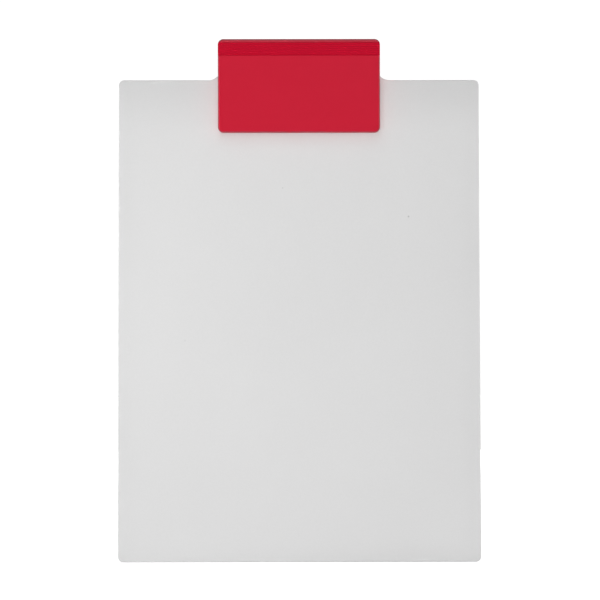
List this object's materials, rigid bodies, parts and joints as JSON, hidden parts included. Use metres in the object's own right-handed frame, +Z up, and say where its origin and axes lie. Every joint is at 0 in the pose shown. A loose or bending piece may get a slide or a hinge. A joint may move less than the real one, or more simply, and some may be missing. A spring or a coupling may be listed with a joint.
{
  "type": "clipboard",
  "caption": "Letter-size plastic clipboard with a wide sprung squeeze clip on a raised tab at the top edge.",
  "frame": {"origin": "middle of the board's bottom edge, on its lower face and halfway through its thickness", "axes": "+Z up along the board towards the clip, +X to the right as the writing face is read, -Y out of the writing face"},
  "size_m": [0.2286, 0.0151, 0.3295],
  "materials": {
    "frosted_plastic": "frosted, colourless, fine matt texture",
    "red_plastic": "semi-gloss moulded",
    "soft_grip": "matt",
    "plated_steel": "bright plated",
    "spring_wire": "drawn wire, lightly oiled"
  },
  "bodies": {
    "board_body": {"board": "frosted_plastic", "hinge_base": "red_plastic", "torsion_spring_left": "spring_wire", "torsion_spring_right": "spring_wire", "rivet_upper_left": "plated_steel", "rivet_upper_right": "plated_steel", "rivet_lower_left": "plated_steel", "rivet_lower_right": "plated_steel"},
    "lever_body": {"clip_lever": "red_plastic", "jaw_grip_strip": "soft_grip", "hinge_pin": "plated_steel"}
  },
  "joints": [
    {"name": "clip_hinge", "type": "hinge", "parent": "board_body", "child": "lever_body", "pos_m": [0, -0.006, 0.309], "axis": [-1, 0, 0], "range_deg": [0, 20], "stiffness_Nm_per_rad": 0.25, "springref_deg": -100.27, "deforming": ["torsion_spring_left", "torsion_spring_right"]}
  ]
}
